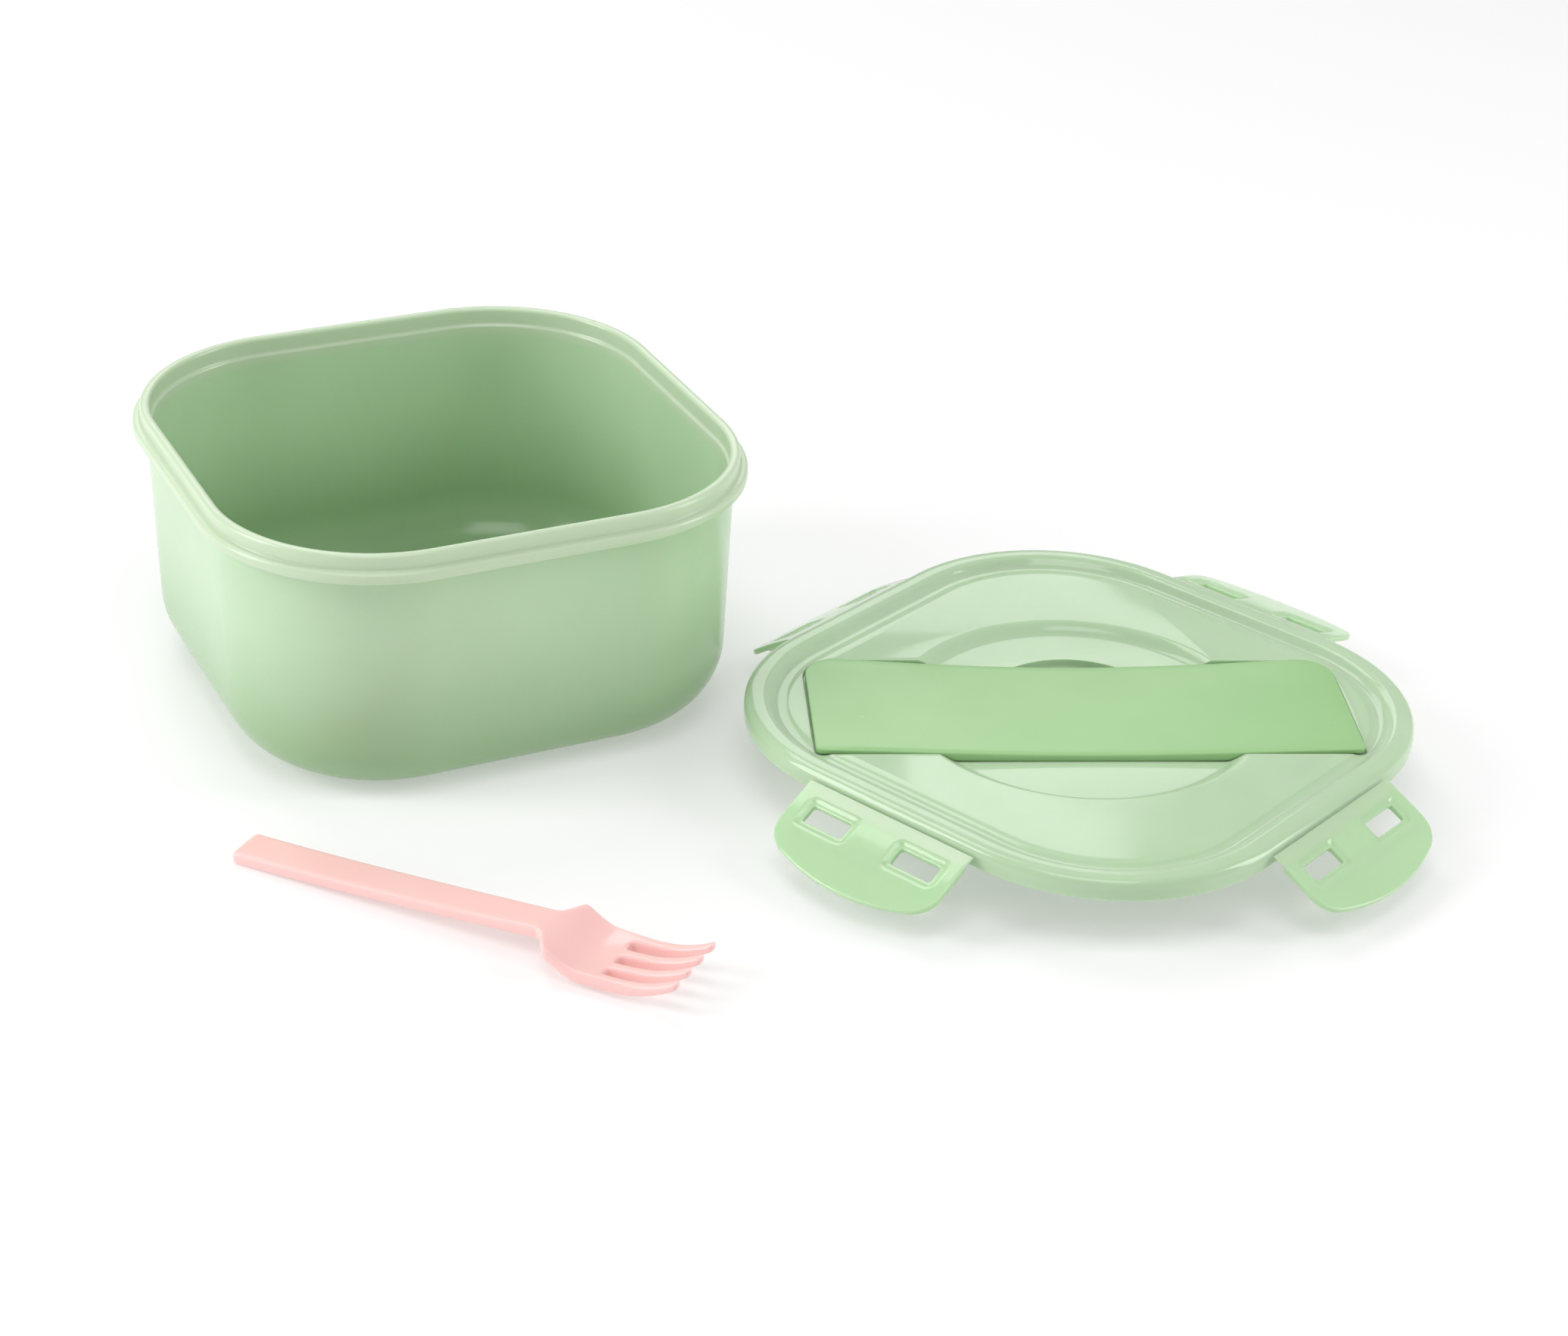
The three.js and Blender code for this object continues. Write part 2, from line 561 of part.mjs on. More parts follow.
const container = new THREE.Group();
container.add(named('bowl', bowlSolid(), '#b0cca4', 0.4));
container.add(lidGroup());
container.add(forkMesh());

export default container;
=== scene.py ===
"""Looks of the snap lid food container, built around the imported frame.

Each CAD node gets a finer piece in the same place. Lengths in the constants are millimetres.
"""

import json
import math

import bmesh
import bpy
from mathutils import Matrix, Vector
from mathutils.geometry import delaunay_2d_cdt
from mathutils.kdtree import KDTree


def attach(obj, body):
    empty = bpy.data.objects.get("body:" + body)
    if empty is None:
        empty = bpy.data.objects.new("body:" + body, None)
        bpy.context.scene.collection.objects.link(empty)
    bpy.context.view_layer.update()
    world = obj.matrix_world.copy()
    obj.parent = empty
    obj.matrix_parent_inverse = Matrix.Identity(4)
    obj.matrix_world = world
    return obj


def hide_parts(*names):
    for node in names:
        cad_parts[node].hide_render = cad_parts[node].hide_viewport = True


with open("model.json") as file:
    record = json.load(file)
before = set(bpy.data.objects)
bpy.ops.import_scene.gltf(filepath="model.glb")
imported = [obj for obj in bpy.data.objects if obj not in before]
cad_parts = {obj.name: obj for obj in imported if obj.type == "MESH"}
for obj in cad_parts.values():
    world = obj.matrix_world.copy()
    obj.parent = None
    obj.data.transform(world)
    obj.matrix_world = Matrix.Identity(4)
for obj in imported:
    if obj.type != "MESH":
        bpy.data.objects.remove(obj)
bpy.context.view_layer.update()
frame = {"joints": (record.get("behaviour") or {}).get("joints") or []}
joints = {joint["name"]: joint for joint in frame["joints"]}
MM = 0.001

# Rounded squares share these corner centres.
CORNER_CENTRE = 29
CORNER_STEPS = 24

# Bowl
BOWL_HEIGHT = 79
BOWL_BASE_HALF = 74.6
BOWL_BODY_HALF = 76
BOWL_FLANGE_HALF = 80
BOWL_BEAD_HALF = 77.7
BOWL_MOUTH_HALF = 74.8
BOWL_WALL = 1.9
BOWL_BASE_FILLET = 19
BOWL_FLANGE_UNDERSIDE = BOWL_HEIGHT - 7.7
BOWL_FLANGE_TOP = BOWL_HEIGHT - 4.4
BOWL_STEP = BOWL_HEIGHT - 5

# Lid, measured from the top of its panel
LID_HALF = 83.4
LID_SHEET = 1.6
LID_PANEL_HALF = 70.4
LID_MOAT_DEPTH = 0.6
LID_RIM_FOOT_HALF = 75.2
LID_RIM_TOP = 2
LID_CHANNEL_CEILING = 0.4
LID_PLUG_HALF = 73.6
LID_PLUG_DEPTH = 8.7
LID_SKIRT_DEPTH = 4
LID_SKIRT_WALL = 1.8
LID_CHANNEL_HALF = 77
LID_RIM_SHOULDER_HALF = 77.2
LID_MOAT_SLOPE = 1.2
LID_SEAL_RIB_HALF = 78.9
LID_SEAL_RIB = 1.2
LID_SEAL_RIB_DEPTH = 2.5
SEAL_HALF = 78.5
SEAL_TOP_HALF = 77.2
SEAL_FOOT_HALF = 77.8
SEAL_LIP_HALF = 74.2
SEAL_LIP_DEPTH = 3.5
SEAL_DEPTH = 4.4
DISH_FLOOR_RADIUS = 46
DISH_RADIUS = 51.5
DISH_DEPTH = 2.7
TRAY_TURN = -math.pi / 4
TRAY_DEPTH = 20.5
TRAY_WALL = 1.6
TRAY_LENGTH = 146
TRAY_CORNER = 9
TRAY_FOOT_ROUND = 4
TRAY_DRAFT = 0.18
NOTCH_RADIUS = 26
NOTCH_REACH = 32
NOTCH_DEPTH = 5.5

# Compartment cover
COVER_LENGTH = 154
COVER_WIDTH = 52.5
COVER_SHEET = 1.5
COVER_RISE = 1
COVER_FREE_SAG = 3.2
COVER_HINGE_SAG = 1.8
COVER_SAG_POWER = 1.5
COVER_GAP = 0.5
COVER_FREE_CORNER = 10
COVER_HINGE_CORNER = 2
COVER_LEDGE_DEPTH = 1.2
COVER_LIP = 1.4
COVER_CLEARANCE = COVER_SHEET + COVER_FREE_SAG - COVER_RISE + 0.8

# Latch flaps, x outwards from the hinge
FLAP_HINGE_HEIGHT = -0.3
FLAP_WIDTH = 56
FLAP_LENGTH = 26
FLAP_SHEET = 1.7
FLAP_WEB = 0.4
FLAP_WEB_LENGTH = 4.4
FLAP_BOW = 2.2
FLAP_CORNER = 6
FLAP_CORNER_SET_BACK = 2.5
FLAP_ARC_DROP = 3.8
SLOT_X = 9.2
SLOT_Y = 15.2
SLOT_LENGTH = 13.5
SLOT_WIDTH = 5.3
SLOT_POCKET = 0.6
SLOT_CORNER = 0.8
SLOT_MARGIN = 0.4
CATCH_X = 14.2
CATCH_RADIUS = 1.9
CATCH_LENGTH = 48

# Fork, x from the handle's end to the tips
FORK_END = Vector((-86.6, -80.6, 0))
FORK_YAW = math.radians(-51.8)
FORK_LENGTH = 137.2
FORK_NECK = 93.6
FORK_SHOULDER = 99.6
FORK_SLOT_START = 115.4
FORK_BELLY = 108.5
FORK_THICKNESS = 3.4
FORK_HEAD_THICKNESS = 3.9
FORK_TIP_THICKNESS = 2.6
FORK_ARCH = 5.8
FORK_ARCH_POWER = 1.34
FORK_TIP_RISE = 8
FORK_TIP_RISE_POWER = 2.6
FORK_CUP = 1.4
FORK_HOLLOW = 1.3
FORK_TINES = 4
FORK_TINE_WIDTH = 3.7
FORK_TINE_TIP_WIDTH = 2.6
FORK_HANDLE_HALF = 6.1
FORK_NECK_HALF = 5.4
FORK_SHOULDER_HALF = 12.1
FORK_TIP_HALF = 11.1
FORK_HANDLE_CORNER = 1.7
FORK_TINE_ROUND = 1.3


# ---------- small helpers ----------

def smoothstep(low, high, x):
    t = min(1, max(0, (x - low) / (high - low)))
    return t * t * (3 - 2 * t)


def soften(corners, steps=4):
    """Points (x, z, round) become a line whose corners are rounded."""
    line = []
    last = len(corners) - 1
    for index, (x, z, size) in enumerate(corners):
        here = Vector((x, z))
        if size == 0 or index in (0, last):
            line.append(here)
            continue
        before = Vector(corners[index - 1][:2]) - here
        after = Vector(corners[index + 1][:2]) - here
        start = here + before.normalized() * min(size, before.length * 0.49)
        end = here + after.normalized() * min(size, after.length * 0.49)
        for step in range(steps + 1):
            t = step / steps
            line.append(start * (1 - t) ** 2 + here * 2 * t * (1 - t) + end * t * t)
    return line


def new_object(name, bm):
    mesh = bpy.data.meshes.new(name)
    bm.to_mesh(mesh)
    bm.free()
    made = bpy.data.objects.new(name, mesh)
    bpy.context.scene.collection.objects.link(made)
    return made


def smooth_by_angle(piece, degrees):
    bm = bmesh.new()
    bm.from_mesh(piece.data)
    limit = math.radians(degrees)
    for face in bm.faces:
        face.smooth = True
    for edge in bm.edges:
        edge.smooth = len(edge.link_faces) == 2 and edge.calc_face_angle(0) < limit
    bm.to_mesh(piece.data)
    bm.free()


def lathe(name, line, closed=False):
    """Carries a line of (half-size, height) points round a rounded square."""
    bm = bmesh.new()
    columns = []
    for corner in range(4):
        middle = (corner + 0.5) * math.pi / 2
        centre_x = math.copysign(CORNER_CENTRE, math.cos(middle))
        centre_y = math.copysign(CORNER_CENTRE, math.sin(middle))
        for step in range(CORNER_STEPS + 1):
            angle = (corner + step / CORNER_STEPS) * math.pi / 2
            column = []
            for half, height in line:
                reach = half - CORNER_CENTRE
                x = centre_x + reach * math.cos(angle) if half > 1 else 0
                y = centre_y + reach * math.sin(angle) if half > 1 else 0
                column.append(bm.verts.new((x, y, height)))
            columns.append(column)
    rows = len(line)
    for index, column in enumerate(columns):
        following = columns[(index + 1) % len(columns)]
        for row in range(rows if closed else rows - 1):
            after = (row + 1) % rows
            bm.faces.new((column[row], following[row], following[after], column[after]))
    bmesh.ops.remove_doubles(bm, verts=bm.verts, dist=1e-4)
    bmesh.ops.recalc_face_normals(bm, faces=bm.faces)
    return new_object(name, bm)


def rounded_rectangle(half_x, half_y, low_corner, high_corner, steps=10):
    outline = []
    corners = (
        (half_x, -half_y, low_corner, -90), (half_x, half_y, high_corner, 0),
        (-half_x, half_y, high_corner, 90), (-half_x, -half_y, low_corner, 180))
    for x, y, radius, start in corners:
        centre_x = x - math.copysign(radius, x)
        centre_y = y - math.copysign(radius, y)
        for step in range(steps + 1):
            angle = math.radians(start + 90 * step / steps)
            outline.append((centre_x + radius * math.cos(angle), centre_y + radius * math.sin(angle)))
    return outline


def loft(name, layers):
    """A closed body through layers of (outline, height)."""
    bm = bmesh.new()
    rings = [[bm.verts.new((x, y, z)) for x, y in outline] for outline, z in layers]
    for low, high in zip(rings, rings[1:]):
        for index in range(len(low)):
            after = (index + 1) % len(low)
            bm.faces.new((low[index], low[after], high[after], high[index]))
    bm.faces.new(list(reversed(rings[0])))
    bm.faces.new(rings[-1])
    bmesh.ops.recalc_face_normals(bm, faces=bm.faces)
    return new_object(name, bm)


def combine(target, tool, operation):
    """Joins or cuts with an exact boolean and removes the tool."""
    modifier = target.modifiers.new(operation, "BOOLEAN")
    modifier.operation = operation
    modifier.solver = "EXACT"
    modifier.object = tool
    bpy.context.view_layer.update()
    evaluated = target.evaluated_get(bpy.context.evaluated_depsgraph_get())
    mesh = bpy.data.meshes.new_from_object(evaluated)
    target.modifiers.clear()
    target.data = mesh
    bpy.data.objects.remove(tool)
    bm = bmesh.new()
    bm.from_mesh(mesh)
    bmesh.ops.remove_doubles(bm, verts=bm.verts, dist=1e-3)
    bmesh.ops.dissolve_degenerate(bm, edges=bm.edges, dist=1e-3)
    bm.to_mesh(mesh)
    bm.free()
    return target


def turn_mesh(made, matrix):
    made.data.transform(matrix)
    return made


def neighbours(outline):
    return zip([outline[-1], *outline[:-1]], outline, [*outline[1:], outline[0]])


def refine(outline, spacing):
    """Adds points so that no stretch of an outline is longer than the spacing."""
    fine = []
    for _, here, after in neighbours(outline):
        count = max(1, math.ceil(math.dist(here, after) / spacing))
        fine += [tuple(a + (b - a) * step / count for a, b in zip(here, after)) for step in range(count)]
    return fine


def inward_normals(outline, hole):
    """Unit normals that point into the plate's material."""
    area = sum(here[0] * after[1] - after[0] * here[1] for _, here, after in neighbours(outline))
    side = math.copysign(1, area) * (-1 if hole else 1)
    normals = []
    for before, here, after in neighbours(outline):
        along = (Vector(here) - Vector(before)).normalized() + (Vector(after) - Vector(here)).normalized()
        along.normalize()
        normals.append(Vector((-along.y, along.x)) * side)
    return normals


def inside(x, y, loops):
    """True between the outer loop and the holes."""
    odd = False
    for loop in loops:
        for _, (x1, y1), (x2, y2) in neighbours(loop):
            if (y1 > y) != (y2 > y) and x < (x2 - x1) * (y - y1) / (y2 - y1) + x1:
                odd = not odd
    return odd


def fill(loops, spacing):
    """Extra points in a grid, and triangles that fill the space between the loops."""
    points = [Vector(point) for loop in loops for point in loop]
    edges = []
    for loop in loops:
        first = len(edges)
        edges += [(first + index, first + (index + 1) % len(loop)) for index in range(len(loop))]
    rim = KDTree(len(points))
    for index, point in enumerate(points):
        rim.insert((*point, 0), index)
    rim.balance()
    low = [min(point[axis] for point in points) for axis in (0, 1)]
    high = [max(point[axis] for point in points) for axis in (0, 1)]
    counts = [round((high[axis] - low[axis]) / spacing) for axis in (0, 1)]
    extra = []
    for column in range(1, counts[0]):
        for row in range(1, counts[1]):
            x = low[0] + (high[0] - low[0]) * column / counts[0]
            y = low[1] + (high[1] - low[1]) * row / counts[1]
            if rim.find((x, y, 0))[2] > 0.6 * spacing and inside(x, y, loops):
                extra.append(Vector((x, y)))
    placed, _, faces, origins, _, _ = delaunay_2d_cdt(points + extra, edges, [], 1, 1e-6)
    triangles = []
    for face in faces:
        middle = sum((placed[corner] for corner in face), Vector((0, 0))) / 3
        if inside(middle.x, middle.y, loops):
            triangles.append([origins[corner][0] for corner in face])
    return extra, triangles


def plate(name, outlines, thickness, edge, spacing, place):
    """A plate with holes and rounded edges, shaped by place(x, y, up), with up from 0 to 1."""
    bm = bmesh.new()
    outlines = [refine(outline, spacing) for outline in outlines]
    normals = [inward_normals(outline, hole=index > 0) for index, outline in enumerate(outlines)]
    round_steps = 4
    quarter = [math.pi / 2 * step / round_steps for step in range(round_steps + 1)]
    low_side = [(edge * (1 - math.sin(angle)), edge * (1 - math.cos(angle))) for angle in quarter]
    levels = low_side + [(inset, thickness - height) for inset, height in reversed(low_side)]
    rings = []
    for outline, inward in zip(outlines, normals):
        rings.append([[bm.verts.new((x + normal.x * inset, y + normal.y * inset, height))
                       for (x, y), normal in zip(outline, inward)] for inset, height in levels])
    for levels_of_loop in rings:
        for low, high in zip(levels_of_loop, levels_of_loop[1:]):
            for index in range(len(low)):
                after = (index + 1) % len(low)
                bm.faces.new((low[index], low[after], high[after], high[index]))
    extra, triangles = fill([[vert.co.xy for vert in loop[0]] for loop in rings], spacing)
    for level, height in ((0, 0), (-1, thickness)):
        corners = [vert for loop in rings for vert in loop[level]]
        corners += [bm.verts.new((x, y, height)) for x, y in extra]
        for triangle in triangles:
            bm.faces.new([corners[index] for index in triangle])
    bmesh.ops.recalc_face_normals(bm, faces=bm.faces)
    for vert in bm.verts:
        vert.co = place(vert.co.x, vert.co.y, vert.co.z / thickness)
    return new_object(name, bm)


# ---------- materials ----------

def mix_colour(nodes, links, factor, low, high):
    """A colour between two, by a 0..1 value socket."""
    mix = nodes.new("ShaderNodeMix")
    mix.data_type = "RGBA"
    mix.inputs["A"].default_value = (*low, 1)
    mix.inputs["B"].default_value = (*high, 1)
    links.new(factor, mix.inputs["Factor"])
    return mix.outputs["Result"]


def noise_value(nodes, links, position, scale, detail, low, high):
    noise = nodes.new("ShaderNodeTexNoise")
    noise.inputs["Scale"].default_value = scale
    noise.inputs["Detail"].default_value = detail
    links.new(position, noise.inputs["Vector"])
    span = nodes.new("ShaderNodeMapRange")
    span.inputs["From Min"].default_value = 0.15
    span.inputs["From Max"].default_value = 0.85
    span.inputs["To Min"].default_value = low
    span.inputs["To Max"].default_value = high
    links.new(noise.outputs["Fac"], span.inputs["Value"])
    return span.outputs["Result"]


def plastic(name, dark, light, roughness, glow, glow_radius, clear=0, bands=()):
    """Moulded plastic: soft cloudy colour, fine surface ripple and a waxy depth.

    Bands (start, end, tint) blend in a tint between two heights in millimetres.
    """
    material = bpy.data.materials.new(name)
    material.use_nodes = True
    nodes, links = material.node_tree.nodes, material.node_tree.links
    shader = nodes["Principled BSDF"]
    position = nodes.new("ShaderNodeTexCoord").outputs["Object"]
    cloud = noise_value(nodes, links, position, 22, 3, 0, 1)
    colour = mix_colour(nodes, links, cloud, dark, light)
    for start, end, tint in bands:
        split = nodes.new("ShaderNodeSeparateXYZ")
        links.new(position, split.inputs["Vector"])
        band = nodes.new("ShaderNodeMapRange")
        band.interpolation_type = "SMOOTHSTEP"
        band.inputs["From Min"].default_value = start * MM
        band.inputs["From Max"].default_value = end * MM
        links.new(split.outputs["Z"], band.inputs["Value"])
        tinted = nodes.new("ShaderNodeMix")
        tinted.data_type = "RGBA"
        tinted.inputs["B"].default_value = (*tint, 1)
        links.new(colour, tinted.inputs["A"])
        links.new(band.outputs["Result"], tinted.inputs["Factor"])
        colour = tinted.outputs["Result"]
    links.new(colour, shader.inputs["Base Color"])
    rough = noise_value(nodes, links, position, 60, 4, roughness * 0.85, roughness * 1.2)
    links.new(rough, shader.inputs["Roughness"])
    grain = nodes.new("ShaderNodeTexNoise")
    grain.inputs["Scale"].default_value = 700
    grain.inputs["Detail"].default_value = 2
    links.new(position, grain.inputs["Vector"])
    bump = nodes.new("ShaderNodeBump")
    bump.inputs["Strength"].default_value = 0.12
    bump.inputs["Distance"].default_value = 0.00005
    links.new(grain.outputs["Fac"], bump.inputs["Height"])
    links.new(bump.outputs["Normal"], shader.inputs["Normal"])
    shader.inputs["IOR"].default_value = 1.49
    shader.inputs["Transmission Weight"].default_value = clear
    shader.inputs["Subsurface Weight"].default_value = glow
    shader.inputs["Subsurface Radius"].default_value = glow_radius
    shader.inputs["Subsurface Scale"].default_value = MM
    return material


def linear(red, green, blue):
    """An sRGB colour in 0..255 as linear values."""
    values = []
    for channel in (red / 255, green / 255, blue / 255):
        values.append(channel / 12.92 if channel < 0.04045 else ((channel + 0.055) / 1.055) ** 2.4)
    return tuple(values)


# How far light spreads in the plastic, in millimetres of red, green and blue
GREEN_GLOW = (1.4, 2.2, 1.3)
PINK_GLOW = (3, 1.6, 1.6)
MILKY_GLOW = (2, 2, 2)
# The bowl is darker towards its base, painted shade where its lower walls get less light, and frosted above
# the flange's underside.
PAINTED_BASE_SHADE = (58, -6, linear(150, 186, 136))
FROSTED_RIM = (BOWL_FLANGE_UNDERSIDE - 1.5, BOWL_FLANGE_UNDERSIDE + 1.5, linear(212, 229, 200))
bowl_plastic = plastic("bowl_plastic", linear(196, 222, 186), linear(206, 231, 197),
                       roughness=0.2, glow=0.4, glow_radius=GREEN_GLOW, clear=0.14,
                       bands=(PAINTED_BASE_SHADE, FROSTED_RIM))
lid_plastic = plastic("lid_plastic", linear(181, 206, 171), linear(194, 217, 185),
                      roughness=0.09, glow=0.7, glow_radius=GREEN_GLOW)
# The cover's deeper green is partly its own colour and partly painted shade: the dark compartment under it,
# seen through the plastic.
cover_plastic = plastic("cover_plastic", linear(149, 193, 131), linear(162, 205, 145),
                        roughness=0.24, glow=0, glow_radius=GREEN_GLOW)
# The flaps' paler green is painted light: the lid's plastic made lighter for the glow of light passing
# through the thin flaps.
flap_plastic = plastic("flap_plastic", linear(196, 228, 184), linear(207, 235, 196),
                       roughness=0.09, glow=0.7, glow_radius=GREEN_GLOW, clear=0.2)
seal_silicone = plastic("seal_silicone", linear(226, 235, 222), linear(236, 242, 232),
                        roughness=0.5, glow=0.5, glow_radius=MILKY_GLOW)
fork_plastic = plastic("fork_plastic", linear(254, 201, 197), linear(255, 211, 208),
                       roughness=0.18, glow=0.3, glow_radius=PINK_GLOW)


# ---------- frames of the bodies ----------

def hinge_point(joint):
    return Vector(joint["pos_m"]) / MM


FLAP_SIDES = ("back_right", "back_left", "front_left", "front_right")
hinge_points = [hinge_point(joints[f"{side}_flap_hinge"]) for side in FLAP_SIDES]
lid_centre = sum(hinge_points, Vector()) / len(hinge_points)
lid_centre.z -= FLAP_HINGE_HEIGHT
first_side = hinge_points[0] - lid_centre
lid_place = Matrix.Translation(lid_centre) @ Matrix.Rotation(math.atan2(first_side.y, first_side.x), 4, "Z")
tray_turn = Matrix.Rotation(TRAY_TURN, 4, "Z")
to_metres = Matrix.Scale(MM, 4)


def settle(piece, place, node, body, material, smooth=40):
    """Turns a piece from millimetres to metres, puts it in place and gives it its body and slot."""
    turn_mesh(piece, to_metres @ place)
    smooth_by_angle(piece, smooth)
    piece.data.materials.clear()
    piece.data.materials.append(material)
    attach(piece, body)
    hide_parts(node)
    return piece


# ---------- bowl ----------

def make_bowl():
    centre = BOWL_BASE_HALF - BOWL_BASE_FILLET
    inner = BOWL_BASE_FILLET - BOWL_WALL
    fillet_steps = 14
    line = [Vector((0, 0))]
    for step in range(fillet_steps + 1):
        angle = math.pi / 2 * (step / fillet_steps - 1)
        line.append(Vector((centre + BOWL_BASE_FILLET * math.cos(angle),
                            BOWL_BASE_FILLET * (1 + math.sin(angle)))))
    line += soften([
        (BOWL_BODY_HALF - 0.2, BOWL_FLANGE_UNDERSIDE - 10, 0),
        (BOWL_BODY_HALF, BOWL_FLANGE_UNDERSIDE, 1),
        (BOWL_FLANGE_HALF, BOWL_FLANGE_UNDERSIDE, 1),
        (BOWL_FLANGE_HALF, BOWL_FLANGE_TOP, 1.2),
        (BOWL_BEAD_HALF, BOWL_FLANGE_TOP, 0.6),
        (BOWL_BEAD_HALF, BOWL_HEIGHT, 1.4),
        (BOWL_MOUTH_HALF, BOWL_HEIGHT, 1.2),
        (BOWL_MOUTH_HALF, BOWL_STEP, 0.4),
        (BOWL_BODY_HALF - BOWL_WALL, BOWL_STEP - 0.7, 0.4),
        (BOWL_BODY_HALF - BOWL_WALL - 0.4, BOWL_STEP - 20, 0),
    ])
    for step in range(fillet_steps + 1):
        angle = -math.pi / 2 * step / fillet_steps
        line.append(Vector((centre + inner * math.cos(angle), BOWL_BASE_FILLET + inner * math.sin(angle))))
    line.append(Vector((0, BOWL_WALL)))
    piece = lathe("bowl_body", line)
    settle(piece, Matrix.Identity(4), "bowl", "bowl", bowl_plastic)


# ---------- lid ----------

def lid_section():
    skirt_inner = LID_HALF - LID_SKIRT_WALL
    plug_inner = LID_PLUG_HALF - LID_SHEET
    rib_outer = LID_SEAL_RIB_HALF + LID_SEAL_RIB
    return soften([
        (0, -LID_SHEET, 0),
        (plug_inner, -LID_SHEET, 0.5),
        (plug_inner, -LID_PLUG_DEPTH, 0.4),
        (LID_PLUG_HALF, -LID_PLUG_DEPTH, 0.4),
        (LID_PLUG_HALF, -3.7, 0.5),
        (LID_CHANNEL_HALF, LID_CHANNEL_CEILING, 0.4),
        (LID_SEAL_RIB_HALF, LID_CHANNEL_CEILING, 0.4),
        (LID_SEAL_RIB_HALF, -LID_SEAL_RIB_DEPTH, 0.3),
        (rib_outer, -LID_SEAL_RIB_DEPTH, 0.3),
        (rib_outer, -0.1, 0.4),
        (skirt_inner, -1.7, 0.8),
        (skirt_inner, -LID_SKIRT_DEPTH, 0.5),
        (LID_HALF, -LID_SKIRT_DEPTH, 0.7),
        (LID_HALF, LID_RIM_TOP, 4.4),
        (LID_RIM_SHOULDER_HALF, LID_RIM_TOP, 1.3),
        (LID_RIM_FOOT_HALF, 0, 1.2),
        (LID_RIM_FOOT_HALF - LID_MOAT_SLOPE, -LID_MOAT_DEPTH, 1.4),
        (LID_PANEL_HALF + LID_MOAT_SLOPE, -LID_MOAT_DEPTH, 1.2),
        (LID_PANEL_HALF, 0, 2),
        (0, 0, 0),
    ], steps=5)


def dish(name, floor_radius, floor, top):
    """A round plug with S-shaped sides, for the dish in the panel and its underside."""
    steps = 10
    layers = []
    width = DISH_RADIUS - DISH_FLOOR_RADIUS
    for step in range(steps + 1):
        share = step / steps
        radius = floor_radius + width * share
        layers.append((circle(radius), floor + DISH_DEPTH * smoothstep(0, 1, share) + 0.001 * step))
    layers.append((circle(floor_radius + width), top))
    return loft(name, layers)


def circle(radius, count=128, centre_y=0):
    return [(radius * math.cos(2 * math.pi * step / count),
             centre_y + radius * math.sin(2 * math.pi * step / count)) for step in range(count)]


def tray_body(name, half_x, half_y, corner, floor, top):
    """The tray's outside or inside: rounded at its foot and narrower there."""
    layers = []
    foot_steps = 6
    for step in range(foot_steps + 1):
        angle = math.pi / 2 * step / foot_steps
        inset = TRAY_FOOT_ROUND * (1 - math.sin(angle))
        layers.append((inset, floor + TRAY_FOOT_ROUND * (1 - math.cos(angle))))
    layers.append((0, -COVER_CLEARANCE))
    layers.append((0, top))
    shaped = []
    for inset, height in layers:
        share = max(0, -height - COVER_CLEARANCE) / (TRAY_DEPTH - COVER_CLEARANCE)
        outline = rounded_rectangle(half_x - inset, half_y - inset, corner - inset, corner - inset)
        shaped.append(([(x, y * (1 - TRAY_DRAFT * share)) for x, y in outline], height))
    return turn_mesh(loft(name, shaped), tray_turn)


def prism(name, outline, low, high, flare=0):
    """A straight-sided tool whose mouth flares, to round the edge that it cuts."""
    layers = [(outline(0), low)]
    if flare:
        for step in range(4):
            angle = math.pi / 2 * step / 3
            layers.append((outline(flare * (1 - math.cos(angle))), flare * (math.sin(angle) - 1)))
        layers.append((outline(flare), high))
    else:
        layers.append((outline(0), high))
    return loft(name, layers)


def notch(name, radius, floor, top):
    centre = NOTCH_REACH - NOTCH_RADIUS
    round_foot = 1.2
    layers = [(circle(radius - round_foot, centre_y=centre), floor),
              (circle(radius - 0.35 * round_foot, centre_y=centre), floor + 0.35 * round_foot),
              (circle(radius, centre_y=centre), floor + round_foot),
              (circle(radius, centre_y=centre), top)]
    return turn_mesh(loft(name, layers), tray_turn)


